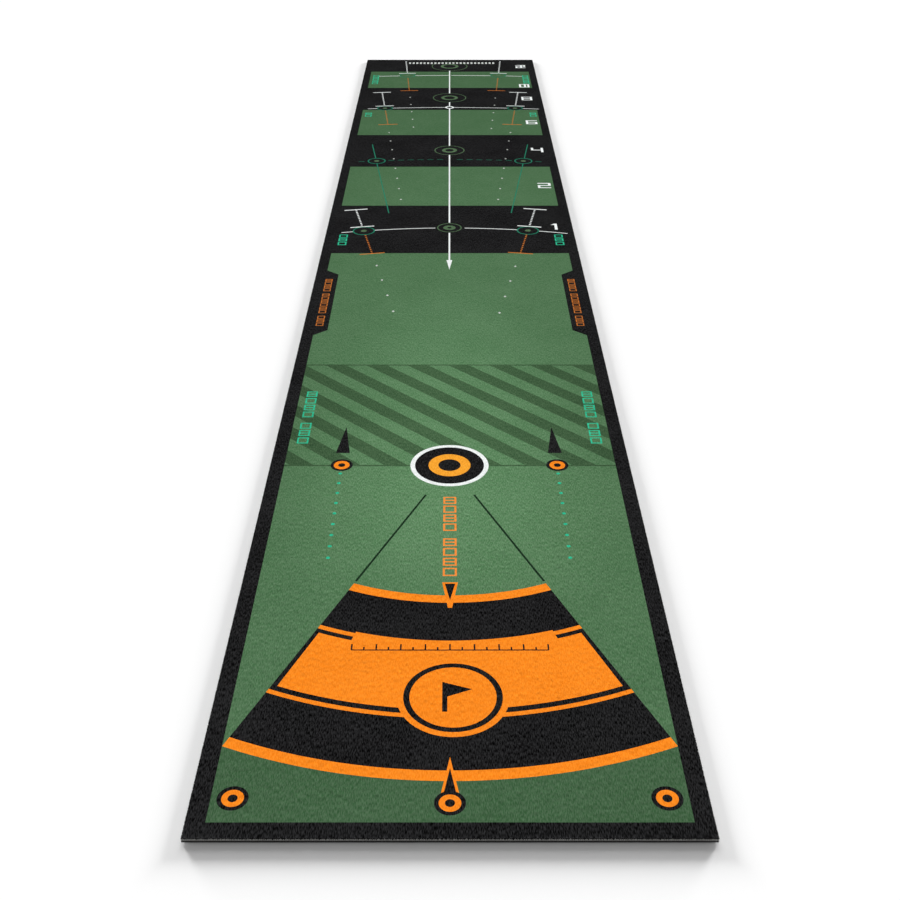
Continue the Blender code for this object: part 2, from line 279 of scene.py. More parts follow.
def yarn(name, dark, light, painted_shade=False):
    """Cut polyester pile: dull fibre ends, in tufts 1.6 mm wide and 3.6 mm long.

    The colour is darker between the tufts, painted shade in the gaps, and differs a little from
    tuft to tuft. Fibres lie along the mat and are drawn 0.9 mm wide and 5 mm long, much coarser
    than the real 0.05 mm, so that they show. The nap's lay makes soft patches 90 mm across. On
    request the colour also takes painted light: lightest by the target, with painted shade deeper
    towards the sides and the ends.
    """
    material, shader = finish_of(name)
    place = step(material, "ShaderNodeTexCoord").outputs["Object"]
    tufts = step(
        material,
        "ShaderNodeMapping",
        {"Vector": place, "Scale": (1 / 0.0016, 1 / 0.0036, 1 / 0.0036)},
    )
    cells = step(
        material,
        "ShaderNodeTexVoronoi",
        {"Vector": tufts.outputs["Vector"], "Scale": 1.0, "Randomness": 0.9},
    )
    fibres = step(
        material,
        "ShaderNodeMapping",
        {"Vector": place, "Scale": (1 / 0.0009, 1 / 0.0050, 1 / 0.0050)},
    )
    fibre = step(
        material,
        "ShaderNodeTexNoise",
        {"Vector": fibres.outputs["Vector"], "Scale": 1.0, "Detail": 1.0, "Roughness": 0.5},
    )
    lay = step(material, "ShaderNodeTexNoise", {"Vector": place, "Scale": 1 / 0.09, "Detail": 2.0})
    # Painted shade: the colour darkens towards each tuft's edge, in the gaps between tufts.
    shade = step(
        material,
        "ShaderNodeMapRange",
        {"Value": cells.outputs["Distance"], "From Min": 0.1, "From Max": 0.9}
        | {"To Min": 0.7, "To Max": 0.3},
    )
    mix = "ShaderNodeMix"  # input 0 is the share that input 3 takes, and input 2 has the rest
    tufted = step(
        material, mix, {2: shade.outputs["Result"], 3: cells.outputs["Color"], 0: 0.35}
    )
    fibrous = step(material, mix, {2: tufted.outputs[0], 3: fibre.outputs["Fac"], 0: 0.75})
    laid = step(material, mix, {2: fibrous.outputs[0], 3: lay.outputs["Fac"], 0: 0.10})
    colour = ramp(material, laid.outputs[0], (0.40, linear(dark)), (0.62, linear(light)))
    # Painted light and shade on the green dyes, lightest by the target.
    if painted_shade:
        colour = painted_light_falloff(material, place, colour)
    relief(material, shader, fibrous.outputs[0], 0.4, 0.0004)
    material.node_tree.links.new(colour, shader.inputs["Base Color"])
    shader.inputs["Roughness"].default_value = 0.92
    shader.inputs["Specular IOR Level"].default_value = 0.0
    return material


# Painted light on the green dyes: a pool of light a little before the target, and painted shade
# that deepens towards the sides and both ends.
LIGHT_POOL_MIDDLE = -0.90  # along the mat, a little before the target
LIGHT_POOL_REACH = (0.30, 0.47, 0.95)  # sideways, towards the player, towards the far end
LIGHT_POOL_STEPS = (  # distance, and the share of light left
    (0.0, 1.00),
    (0.30, 0.91),
    (0.75, 0.71),
    (1.2, 0.66),
    (1.8, 0.575),
    (2.4, 0.53),
)


def painted_light_falloff(material, place, colour):
    """The colour darkened with the distance from the middle of a painted pool of light, as painted
    shade.

    Each direction's distance is in parts of its reach. The root of their squares picks a step,
    and the step's share multiplies the colour.
    """
    sideways, towards_player, towards_far_end = LIGHT_POOL_REACH
    last = LIGHT_POOL_STEPS[-1][0]

    def worked(operation, *values):
        """The result of one operation on two or three values."""
        inputs = dict(enumerate(values))
        return step(material, "ShaderNodeMath", inputs, operation=operation).outputs[0]

    parts = step(material, "ShaderNodeSeparateXYZ", {0: place})
    x, y = parts.outputs["X"], parts.outputs["Y"]
    beyond = worked("MULTIPLY_ADD", y, 1 / towards_far_end, -LIGHT_POOL_MIDDLE / towards_far_end)
    before = worked("MULTIPLY_ADD", y, -1 / towards_player, LIGHT_POOL_MIDDLE / towards_player)
    along = worked("MAXIMUM", beyond, before)
    across = worked("MULTIPLY", x, 1 / sideways)
    both = step(material, "ShaderNodeCombineXYZ", {"X": across, "Y": along})
    far = step(material, "ShaderNodeVectorMath", {0: both.outputs[0]}, operation="LENGTH")
    share = worked("MULTIPLY", far.outputs["Value"], 1 / last)
    stops = [(distance / last, (left, left, left, 1)) for distance, left in LIGHT_POOL_STEPS]
    inputs = {0: colour, 1: ramp(material, share, *stops)}
    deeper = step(material, "ShaderNodeVectorMath", inputs, operation="MULTIPLY")
    return deeper.outputs[0]


def edge_tufts(name, material, bottom, top, foot, head, lean):
    """A row of tufts round the mat: each is a five-sided bundle between two heights.

    Ring by ring its radius goes from foot to head and its middle moves outwards by lean; the
    top ring closes on a raised point and the lowest ring is a flat face of triangles.
    """
    half_x, half_y = WIDTH / 2 - EDGE_INSET, LENGTH / 2 - EDGE_INSET
    nx, ny = round(2 * half_x / TUFT_SPACING), round(2 * half_y / TUFT_SPACING)
    xs = np.linspace(-half_x, half_x, nx, endpoint=False)
    ys = np.linspace(-half_y, half_y, ny, endpoint=False)
    middle = np.concatenate(
        [
            np.stack([xs, np.full(nx, -half_y)], axis=1),
            np.stack([np.full(ny, half_x), ys], axis=1),
            np.stack([-xs, np.full(nx, half_y)], axis=1),
            np.stack([np.full(ny, -half_x), -ys], axis=1),
        ]
    )
    outwards = np.concatenate(
        [np.tile((0, -1), (nx, 1)), np.tile((1, 0), (ny, 1)), np.tile((0, 1), (nx, 1))]
        + [np.tile((-1, 0), (ny, 1))]
    )
    count = len(middle)
    shift = np.stack([outwards[:, 1], outwards[:, 0]], axis=1)
    middle = middle + shift * chance.normal(0, 0.00022, (count, 1))
    size = chance.uniform(0.85, 1.12, (count, 1, 1))
    tall = chance.uniform(-0.00015, 0.0001, (count, 1))
    turn = chance.uniform(0, 2 * math.pi, (count, 1, 1))
    turn = turn + np.arange(TUFT_SIDES) * (2 * math.pi / TUFT_SIDES)
    share = np.array([0.0, 0.45, 1.0])
    radius = (foot + (head - foot) * share)[None, :, None] * size
    ring = np.stack([radius * np.cos(turn), radius * np.sin(turn)], axis=-1)
    ring = ring + middle[:, None, None, :]
    ring = ring + outwards[:, None, None, :] * lean * (share**2)[None, :, None, None]
    height = bottom + (top - bottom + tall) * share[None, :]
    rings = np.concatenate(
        [ring, np.broadcast_to(height[:, :, None, None], (*ring.shape[:3], 1))], axis=-1
    ).reshape(count, -1, 3)
    caps = np.concatenate([middle + outwards * lean, top + tall + TUFT_RAISE], axis=1)[:, None, :]
    points = np.concatenate([rings, caps], axis=1)
    each = points.shape[1]
    here = np.arange(TUFT_SIDES)
    ahead = np.roll(here, -1)
    faces = []
    for level in (0, TUFT_SIDES):
        faces.append(np.stack([here, ahead, ahead + TUFT_SIDES], axis=1) + level)
        faces.append(np.stack([here, ahead + TUFT_SIDES, here + TUFT_SIDES], axis=1) + level)
    last = 2 * TUFT_SIDES
    faces.append(np.stack([here + last, ahead + last, np.full(TUFT_SIDES, each - 1)], axis=1))
    sides = sum(len(part) for part in faces)
    faces.append(np.array([[0, 2, 1], [0, 3, 2], [0, 4, 3]]))
    one = np.concatenate(faces)
    faces = (one[None] + (np.arange(count) * each)[:, None, None]).reshape(-1, 3)
    smooth = np.tile(np.arange(len(one)) < sides, count)
    piece = mesh_piece(name, material, points.reshape(-1, 3), faces, smooth)
    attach(piece, "root")
    return piece


undyed = yarn("undyed_cut_pile", "#9c9c99", "#cdcdc9")
roots = edge_tufts(
    "edge_tuft_sides", undyed, PILE_BOTTOM - 0.0001, PILE_TOP - TIP_DEPTH, 0.00075, 0.00085, 0.0
)

pile_black = yarn("black_cut_pile", "#050505", "#2d2d2e")
tips = edge_tufts(
    "edge_tuft_tips", pile_black, PILE_TOP - TIP_DEPTH, PILE_TOP, 0.00086, 0.00092, 0.00005
)

# ---- Side borders, in black dye -----------------------------------------------------------
# The tufted cloth is printed from above in flat areas of dye, one area after another, and a
# tuft takes one dye. The border runs down both sides, and a tab stands in from each.
MM = 0.001
HALF_WIDTH = WIDTH / 2 / MM
FULL = LENGTH / MM
CUT = EDGE_INSET / MM
HALF_GAP = 0.15  # half of the gap between two dyed areas' solids
areas = {}  # each dyed area's number, in the order of printing
dyed_pieces = []
outlines = []  # (area number, outline): a later outline prints over an earlier one


def area(name, dye, slot, *nodes):
    """Starts a dyed area: its piece, its dye and the CAD nodes it stands for."""
    piece = bpy.data.objects.new("pile_" + name, bpy.data.meshes.new("pile_" + name))
    piece.data.materials.append(dye)
    bpy.context.scene.collection.objects.link(piece)
    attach(piece, "root")
    if nodes:
        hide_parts(*nodes)
    areas[name] = len(dyed_pieces)
    dyed_pieces.append(piece)


def anticlockwise(outline):
    """The outline's points, turned round if its shoelace area is negative."""
    points = np.asarray(outline, float)
    x, s = points.T
    doubled = np.dot(x, np.roll(s, -1)) - np.dot(s, np.roll(x, -1))
    return points if doubled > 0 else points[::-1]


def dye(name, shape):
    """Prints an outline in an area's dye: millimetres across, and from the player's edge."""
    outlines.append((areas[name], anticlockwise(shape)))


def box(x0, x1, s0, s1):
    """A rectangle's four corners."""
    return [(x0, s0), (x1, s0), (x1, s1), (x0, s1)]


def extent(node):
    """A CAD node's edges in millimetres: left, right, nearest and furthest.

    The half gap that each dyed area's solid keeps is given back.
    """
    low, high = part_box(node)
    low_s, high_s = low.y / MM + FULL / 2, high.y / MM + FULL / 2
    return low.x / MM - HALF_GAP, high.x / MM + HALF_GAP, low_s - HALF_GAP, high_s + HALF_GAP


BORDER_END = extent("border_near")[3]
END_START = extent("band_end")[2]
HALF_FIELD = extent("green_near")[1]
TAB_DEPTH = HALF_FIELD + extent("border_left")[1]
TAB_START, TAB_END = 1075.0, 1355.0
TAB_CHAMFER = 19.5
for side, way in (("left", -1), ("right", 1)):
    area("border_" + side, pile_black, "pile_black", "border_" + side)
    dye("border_" + side, box(0, way * (HALF_WIDTH - CUT), CUT, FULL - CUT))
TAB_CORNERS = (
    (HALF_FIELD, TAB_START),
    (HALF_FIELD - TAB_DEPTH, TAB_START + TAB_CHAMFER),
    (HALF_FIELD - TAB_DEPTH, TAB_END - TAB_CHAMFER),
    (HALF_FIELD, TAB_END),
)

# ---- Striped field, light and dark green --------------------------------------------------
# Past the target the green is printed in slanting stripes, like a mown lawn. Each stripe is
# one screen of dye over the pile, light and dark by turns, with a thin dark line at each end.
TARGET_S = sum(extent("target_white_ring")[2:]) / 2
STRIPES_END = extent("striped_field")[3]
STRIPE_WIDTH = 32.8
STRIPE_START = -3.5  # where the first dark stripe leaves the field's far edge
END_LINE = 3.6  # the thin dark line across each end of the field

# Both greens of the stripes take painted light too: lightest by the target, with painted shade
# deepening towards the sides and ends.
pile_green = yarn("green_cut_pile", "#4e7a50", "#70956f", painted_shade=True)
pile_dark_green = yarn("dark_green_cut_pile", "#39573a", "#537150", painted_shade=True)
area("stripes_light", pile_green, "pile_green", "striped_field")
area("stripes_dark", pile_dark_green, "pile_green")
dye("stripes_light", box(-HALF_FIELD, HALF_FIELD, TARGET_S, STRIPES_END))
stripes_long = STRIPES_END - TARGET_S  # the stripes run at 45 degrees, so also their slant


def within(outline, way, limit):
    """A convex outline cut off where way times x is more than the limit.

    A corner inside is kept, and a side that crosses the limit adds its crossing point.
    """
    kept = []
    for (x0, s0), (x1, s1) in zip(outline, outline[1:] + outline[:1]):
        if way * x0 <= limit:
            kept.append((x0, s0))
        if (way * x0 - limit) * (way * x1 - limit) < 0:
            kept.append((way * limit, s0 + (s1 - s0) * (way * limit - x0) / (x1 - x0)))
    return kept


for number in range(-8, 4):
    x = STRIPE_START + 2 * STRIPE_WIDTH * number
    stripe = [
        (x + stripes_long, TARGET_S),
        (x + STRIPE_WIDTH + stripes_long, TARGET_S),
        (x + STRIPE_WIDTH, STRIPES_END),
        (x, STRIPES_END),
    ]
    stripe = within(within(stripe, 1, HALF_FIELD), -1, HALF_FIELD)
    if len(stripe) > 2:
        dye("stripes_dark", stripe)

# ---- Green fields -------------------------------------------------------------------------
# Plain green pile round the fan, past the stripes and between the far bands.
FAN_OUTER = 587.5
HALF_FAN = math.asin(HALF_FIELD / FAN_OUTER)
FAN_CORNER = TARGET_S - FAN_OUTER * math.cos(HALF_FAN)
OPEN_END = extent("green_open")[3]

# The near field's green is darker than the field green as painted shade, for the darker look of the
# pile seen steeply at the player's end, and it takes the painted light falloff as well.
pile_near_green_painted_shade = yarn("near_green_cut_pile_painted_shade", "#436a45", "#628362", painted_shade=True)
area("green_near", pile_near_green_painted_shade, "pile_green", "green_near")
dye("green_near", box(-HALF_FIELD, HALF_FIELD, BORDER_END, FAN_CORNER))
for side, way in (("left", -1), ("right", 1)):
    area("green_side_" + side, pile_green, "pile_green", "green_side_" + side)
    corners = [(way * HALF_FIELD, FAN_CORNER), (way * HALF_FIELD, TARGET_S), (0, TARGET_S)]
    dye("green_side_" + side, corners)
area("green_open", pile_green, "pile_green", "green_open")
dye("green_open", box(-HALF_FIELD, HALF_FIELD, STRIPES_END, OPEN_END))
for line_s in (TARGET_S - 1, STRIPES_END):
    dye("stripes_dark", box(-HALF_FIELD, HALF_FIELD, line_s - END_LINE / 2, line_s + END_LINE / 2))
for number in (1, 2, 3):
    for side, way in (("left", -1), ("right", 1)):
        name = f"green_{number}_{side}"
        start, end = extent(name)[2:]
        area(name, pile_green, "pile_green", name)
        dye(name, box(0, way * HALF_FIELD, start, end))
for side, way in (("left", -1), ("right", 1)):
    edge = [(way * (HALF_WIDTH - CUT), CUT), (way * HALF_FIELD, CUT)]
    edge += [(way * x, s) for x, s in TAB_CORNERS]
    edge += [(way * HALF_FIELD, FULL - CUT), (way * (HALF_WIDTH - CUT), FULL - CUT)]
    dye("border_" + side, edge)

# ---- Black bands across the mat -----------------------------------------------------------
# Bands of black pile between the far green fields, at set putting distances, and the strips
# at the player's end and the far end.
area("border_near", pile_black, "pile_black", "border_near")
dye("border_near", box(-HALF_WIDTH + CUT, HALF_WIDTH - CUT, CUT, BORDER_END))
for number in (1, 2, 3):
    name = f"band_{number}"
    start, end = extent(name)[2:]
    area(name, pile_black, "pile_black", name)
    dye(name, box(-HALF_FIELD, HALF_FIELD, start, end))
area("band_end", pile_black, "pile_black", "band_end")
dye("band_end", box(-HALF_WIDTH + CUT, HALF_WIDTH - CUT, END_START, FULL - CUT))

# ---- Fan ----------------------------------------------------------------------------------
# Bands of orange and black dye on arcs about the target's middle, which show how hard the
# ball was hit. The widest orange band is the panel that carries the badge.
RIM = 14.0
NEAR_BAND = 72.5
ORANGE_LINE = 6.0
BLACK_LINE = 7.5
PANEL = 96.0
TOP_LINE = 6.5  # each of the black and the orange line past the panel
FAR_BAND = 71.0
PANEL_STEP = 2.5
SIDE_LINE = math.radians(0.72)
RAISED_LEFT = -HALF_FAN + math.radians(6.6)
RAISED_RIGHT = HALF_FAN - math.radians(5.0)
ARC_STEP = math.radians(0.2)

rim_near_inner = FAN_OUTER - RIM
near_band_inner = rim_near_inner - NEAR_BAND
low_orange = near_band_inner - ORANGE_LINE
panel_outer = low_orange - BLACK_LINE
panel_inner = panel_outer - PANEL
top_black = panel_inner - TOP_LINE
top_line = top_black - TOP_LINE
far_band_inner = top_line - FAR_BAND
rim_far_inner = far_band_inner - RIM


def arc(radius, start, end):
    """Points at one radius from the target's middle: (r sin a, target - r cos a).

    Angle 0 points at the player. Angles are whole steps, and the two ends.
    """
    low, high = min(start, end), max(start, end)
    whole = np.arange(math.floor(low / ARC_STEP) + 1, math.ceil(high / ARC_STEP)) * ARC_STEP
    turn = np.concatenate([[low], whole, [high]])
    if start > end:
        turn = turn[::-1]
    return np.stack([radius * np.sin(turn), TARGET_S - radius * np.cos(turn)], axis=1)


def sector(inner, outer, start=-HALF_FAN, end=HALF_FAN):
    """The area between two radii and two angles."""
    return np.concatenate([arc(outer, start, end), arc(inner, end, start)])


def disc(x, s, radius):
    """A circle as equal steps of about 1.6 mm, and at least 20."""
    count = max(20, round(2 * math.pi * radius / 1.6))
    turn = np.arange(count) * 2 * math.pi / count
    return np.stack([x + radius * np.cos(turn), s + radius * np.sin(turn)], axis=1)


def triangle(x, base_s, tip_s, width):
    """A triangle with its base across the mat and its tip on the same line."""
    return [(x - width / 2, base_s), (x + width / 2, base_s), (x, tip_s)]


def shrunk(outline, by):
    """Each edge of an outline moved inwards by a distance, with the corners mitred."""
    points = anticlockwise(outline)
    ahead = np.roll(points, -1, axis=0) - points
    ahead /= np.linalg.norm(ahead, axis=1)[:, None]
    after = np.stack([ahead[:, 1], -ahead[:, 0]], axis=1)
    before = np.roll(after, 1, axis=0)
    mitre = (after + before) / (1 + (after * before).sum(axis=1))[:, None]
    return points - by * mitre


pile_orange = yarn("orange_cut_pile", "#ee7e18", "#fc902a")
for name in ("fan_rim_near", "fan_rim_far", "fan_panel"):
    area(name, pile_orange, "pile_orange", name)
for name in ("fan_band_near", "fan_band_far", "fan_bracket_left", "fan_bracket_right"):
    area(name, pile_black, "pile_black", name)
area("green_sector", pile_green, "pile_green", "green_sector")
dye("fan_rim_near", sector(rim_near_inner, FAN_OUTER))
dye("fan_band_near", sector(near_band_inner, rim_near_inner))
dye("fan_panel", sector(top_line, near_band_inner))
dye("fan_band_far", sector(far_band_inner, top_line))
dye("fan_panel", sector(top_line - PANEL_STEP, panel_inner, RAISED_LEFT, RAISED_RIGHT))
for side, raised, edge in (("left", RAISED_LEFT, -HALF_FAN), ("right", RAISED_RIGHT, HALF_FAN)):
    inside = edge - math.copysign(SIDE_LINE, edge)
    bracket = np.concatenate(
        [
            arc(top_black, raised, edge),
            arc(low_orange, edge, 0),
            arc(panel_outer, 0, inside),
            arc(panel_inner, inside, raised),
        ]
    )
    dye("fan_bracket_" + side, bracket)
dye("fan_rim_far", sector(rim_far_inner, far_band_inner))
dye("green_sector", np.concatenate([[(0, TARGET_S)], arc(rim_far_inner, -HALF_FAN, HALF_FAN)]))

# ---- Badge, arrow and spike on the fan ----------------------------------------------------
# A round badge with a flag on its pole, and two orange-edged points on the centre line that
# the player aims along. All are print.
BADGE_RIM = 7.0  # orange outside the ring
BADGE_STROKE = 6.6
FLAG_HEIGHT = 46.0
FLAG_POLE = 5.5
EDGE_WIDTH = 2.7
AIM_LENGTH, AIM_WIDTH = 49.0, 19.0
AIM_TIP_WIDTH = 5.0
AIM_REACH = 9.5  # tip past the far rim
SPIKE_REACH, SPIKE_WIDTH = 18.5, 22.3  # tip past the near rim, and base
CENTRE_MARK_S = sum(extent("mark_centre_edge")[2:]) / 2

area("badge_ring", pile_black, "pile_black", "badge_ring")
area("badge_field", pile_orange, "pile_orange", "badge_field")
area("badge_flag", pile_black, "pile_black", "badge_flag")
badge_left, badge_right, badge_near, badge_far = extent("badge_ring")
badge_x = (badge_left + badge_right) / 2
badge_s = (badge_near + badge_far) / 2
badge_radius = (badge_far - badge_near) / 2
dye("fan_panel", disc(badge_x, badge_s, badge_radius + BADGE_RIM))
dye("badge_ring", disc(badge_x, badge_s, badge_radius))
dye("badge_field", disc(badge_x, badge_s, badge_radius - BADGE_STROKE))
pole_x = badge_x - FLAG_HEIGHT / 4
flag = [
    (pole_x, badge_s - FLAG_HEIGHT / 2),
    (pole_x + FLAG_POLE, badge_s - FLAG_HEIGHT / 2),
    (pole_x + FLAG_POLE, badge_s),
    (pole_x + FLAG_HEIGHT * 0.7, badge_s + FLAG_HEIGHT / 4),
    (pole_x, badge_s + FLAG_HEIGHT / 2),
]
dye("badge_flag", flag)

area("aim_arrow", pile_black, "pile_black", "aim_arrow")
aim_tip = TARGET_S - far_band_inner - AIM_REACH
aim_base = aim_tip + AIM_LENGTH
aim_edge = [
    (-AIM_WIDTH / 2, aim_base),
    (AIM_WIDTH / 2, aim_base),
    (AIM_TIP_WIDTH / 2, aim_tip),
    (-AIM_TIP_WIDTH / 2, aim_tip),
]
dye("fan_rim_far", aim_edge)
dye("aim_arrow", shrunk(triangle(0, aim_base, aim_tip, AIM_WIDTH), EDGE_WIDTH))
area("centre_spike", pile_black, "pile_black", "centre_spike")
spike_edge = triangle(0, CENTRE_MARK_S, TARGET_S - rim_near_inner + SPIKE_REACH, SPIKE_WIDTH)
dye("fan_rim_near", spike_edge)
dye("centre_spike", shrunk(spike_edge, EDGE_WIDTH))

# ---- Target -------------------------------------------------------------------------------
# A round target the size of a golf hole: black core, amber ring, black ring and white ring.
pile_amber = yarn("amber_cut_pile", "#e79528", "#fcac3a")
pile_white = yarn("white_cut_pile", "#dfe4e3", "#f7fbfa")
for name, colour, slot in (
    ("target_white_ring", pile_white, "pile_white"),
    ("target_black_ring", pile_black, "pile_black"),
    ("target_orange_ring", pile_amber, "pile_orange"),
    ("target_core", pile_black, "pile_black"),
):
    area(name, colour, slot, name)
    left, right, near, far = extent(name)
    dye(name, disc((left + right) / 2, TARGET_S, (far - near) / 2))

# ---- Ball marks and gate spikes -----------------------------------------------------------
# Small round marks, each a black core in an orange ring in a black ring, where balls are
# placed: one on the centre line, two in the near corners and two beside the target. A black
# spike points away from each of the last two.
for name in ("centre", "corner_left", "corner_right", "gate_left", "gate_right"):
    for ring, colour, slot in (
        ("edge", pile_black, "pile_black"),
        ("orange", pile_orange, "pile_orange"),
        ("core", pile_black, "pile_black"),
    ):
        node = f"mark_{name}_{ring}"
        left, right, near, far = extent(node)
        area(node, colour, slot, node)
        dye(node, disc((left + right) / 2, (near + far) / 2, (far - near) / 2))
for side in ("left", "right"):
    left, right, near, far = extent("gate_spike_" + side)
    area("gate_spike_" + side, pile_black, "pile_black", "gate_spike_" + side)
    dye("gate_spike_" + side, triangle((left + right) / 2, near, far, right - left))

# ---- White line down the middle -----------------------------------------------------------
# A line of white dye that the putt follows, with an arrow head at its near end and a break at
# each distance ring.
LINE_LEFT, LINE_RIGHT = extent("centre_line_2")[:2]
LINE_X = (LINE_LEFT + LINE_RIGHT) / 2
LINE_HEAD, LINE_HEAD_WIDTH = 46.5, 11.0
RINGS = ((1579.0, 28.7), (2097.0, 36.0), (2569.0, 44.0), (2919.0, 52.0))  # middle, break
line_start = extent("centre_line_1")[2] + LINE_HEAD
for number, (ring_s, ring_radius) in enumerate(RINGS, 1):
    name = f"centre_line_{number}"
    area(name, pile_white, "pile_white", name)
    if number == 1:
        dye(name, triangle(LINE_X, line_start, line_start - LINE_HEAD, LINE_HEAD_WIDTH))
    dye(name, box(LINE_LEFT, LINE_RIGHT, line_start, ring_s - ring_radius))
    line_start = ring_s + ring_radius

# ---- Distance rings -----------------------------------------------------------------------
# A thin ring round a thick one, in a dull green dye on the black bands, at each break in the
# line. The small rings beside them are of the same dye.
RING_PRINTS = (("band_1", 25.0), ("band_2", 36.0), ("band_3", 45.5), ("band_end", 53.0))
RING_STROKE = 2.2
INNER_STROKE = 8.0
pile_dull_green = yarn("dull_green_cut_pile", "#41583f", "#627f5e")
area("distance_rings", pile_dull_green, "pile_green")
for (ring_s, _), (band, ring_radius) in zip(RINGS, RING_PRINTS):
    inner = ring_radius * 0.5
    dye("distance_rings", disc(LINE_X, ring_s, ring_radius))
    dye(band, disc(LINE_X, ring_s, ring_radius - RING_STROKE))
    dye("distance_rings", disc(LINE_X, ring_s, inner))
    dye(band, disc(LINE_X, ring_s, inner - INNER_STROKE))

# ---- Guide lines and ladder between the target and the fan ---------------------------------
# Two thin dark lines run from the target to the fan's sides, and a ladder of small frames in
# light orange runs down the middle between them.
pile_guide = yarn("deep_green_cut_pile", "#16271a", "#223a27")
GUIDE_ANGLE = math.radians(23.1)
GUIDE_START, GUIDE_END, GUIDE_WIDTH = 82.0, 289.0, 2.9
LADDER_LEFT, LADDER_RIGHT = -8.8, 8.4
LADDER_START, LADDER_PITCH = 403.5, 20.8


def along_ray(angle, near, far, width):
    """A straight strip on a ray from the target's middle towards the player."""
    end = np.array([math.sin(angle), -math.cos(angle)])
    beside = np.array([end[1], -end[0]]) * width / 2
    middle = np.array([0, TARGET_S])
    return [
        middle + end * near + beside,
        middle + end * near - beside,
        middle + end * far - beside,
        middle + end * far + beside,
    ]


def frames(name, under, x0, x1, start, pitch, pattern, stroke):
    """A row of small frames along the mat, and every second one has a bar across its middle.

    The pattern gives how many frames stand in each group. A frame takes 0.8 of the pitch, and
    0.6 of a place stays free between groups.
    """
    place = 0
    for group in pattern:
        for number in range(group):
            s0 = start + place * pitch
            s1 = s0 + pitch * 0.8
            dye(name, box(x0, x1, s0, s1))
            dye(under, box(x0 + stroke, x1 - stroke, s0 + stroke, s1 - stroke))
            if number % 2:
                middle = (s0 + s1) / 2
                dye(name, box(x0 + stroke, x1 - stroke, middle - stroke / 2, middle + stroke / 2))
            place += 1
        place += 0.6


area("guide_lines", pile_guide, "pile_green")
for way in (-1, 1):
    dye("guide_lines", along_ray(way * GUIDE_ANGLE, GUIDE_START, GUIDE_END, GUIDE_WIDTH))
pile_mark = yarn("light_orange_cut_pile", "#e5822f", "#f79447")
area("ladder_frames", pile_mark, "pile_orange")
ladder = (LADDER_LEFT, LADDER_RIGHT, LADDER_START, LADDER_PITCH)
frames("ladder_frames", "green_sector", *ladder, (4, 4), 2.6)

# ---- Mint dots and frames -----------------------------------------------------------------
# A mint dye marks the lanes beside the target: a row of dots below each gate mark, and a row
# of small frames at each side of the striped field.
pile_mint = yarn("mint_cut_pile", "#27a47d", "#3cc79c")
DOT_RADIUS = 2.6
DOTS_X = -1.1  # the middle between the two rows
DOTS_APART = 150.0  # each row from that middle
FRAMES_START, FRAMES_PITCH = 718.0, 21.2
area("mint_marks", pile_mint, "pile_green")
for way in (-1, 1):
    for s in np.linspace(441, 637, 9):
        dye("mint_marks", disc(DOTS_X + way * DOTS_APART, s, DOT_RADIUS))
for x0, x1 in ((-220, -203.5), (202, 218.5)):
    frames("mint_marks", "stripes_light", x0, x1, FRAMES_START, FRAMES_PITCH, (3, 4), 2.4)

# ---- Frames on the tabs and the scale on the panel ------------------------------------------
# Small orange frames run along each black tab. On the orange panel a fine dark scale of ticks
# stands on a straight base line.
pile_rust = yarn("rust_cut_pile", "#b5662a", "#cf7c38")
area("tab_frames", pile_rust, "pile_orange")
for side, way in (("left", -1), ("right", 1)):
    ends = sorted((way * 230, way * 217))
    frames("tab_frames", "border_" + side, *ends, 1112, 14.4, (3, 6, 4), 1.6)
SCALE_HALF = 110.0
SCALE_S = 266.0
SCALE_LINE = 1.8
LONG_TICK, SHORT_TICK = 11.0, 6.0
area("panel_scale", pile_black, "pile_black")
dye("panel_scale", box(-SCALE_HALF, SCALE_HALF, SCALE_S, SCALE_S + SCALE_LINE))
for number, x in enumerate(np.linspace(-SCALE_HALF, SCALE_HALF, 17)):
    tall = SHORT_TICK if number % 2 else LONG_TICK
    half = SCALE_LINE / 2
    dye("panel_scale", box(x - half, x + half, SCALE_S + half, SCALE_S + tall))

# ---- White marks on the bands ---------------------------------------------------------------
# White dye: arcs about the target's middle, gates of ticks and bars on rays from the target,
# and faint dots along two lines. The gates' nearer halves are orange and their rings teal.
BAR_LENGTH, BAR_WIDTH = 49.0, 4.0
TICK_PITCH, TICK_LENGTH, TICK_WIDTH = 9.5, 4.4, 3.6
ORANGE_BAR_WIDTH, ORANGE_TICK_WIDTH = 3.4, 3.0
SMALL_STROKE, SMALL_DOT = 2.6, 6.0
GRID_STROKE, DASH_STROKE, DASH_HALF, DASH_PITCH = 2.2, 1.8, 7.0, 23.0
DOT_HALF_WIDTH, DOT_HALF_LENGTH = 2.5, 3.8
pile_faint = yarn("grey_white_cut_pile", "#b4b8b4", "#d3d8d4")
area("white_gates", pile_white, "pile_white")
pile_teal = yarn("teal_cut_pile", "#1e6650", "#2f8c6f")
area("orange_gates", pile_rust, "pile_orange")
area("mint_lines", pile_teal, "pile_green")
area("white_dots", pile_faint, "pile_white")


def strip(start, end, width):
    """A straight line between two places, given its width."""
    start, end = np.array(start, float), np.array(end, float)
    ahead = (end - start) / np.linalg.norm(end - start)
    beside = np.array([-ahead[1], ahead[0]]) * width / 2
    return [start + beside, start - beside, end - beside, end + beside]


def far_arc(radius, x0, x1, width):
    """A curved line past the target, at one radius from its middle, between two places across."""
    turn = np.linspace(math.asin(x0 / radius), math.asin(x1 / radius), 40)
    outer = np.stack([np.sin(turn), np.cos(turn)], axis=1) * (radius + width / 2)
    inner = np.stack([np.sin(turn), np.cos(turn)], axis=1) * (radius - width / 2)
    return np.concatenate([outer, inner[::-1]]) + (0, TARGET_S)


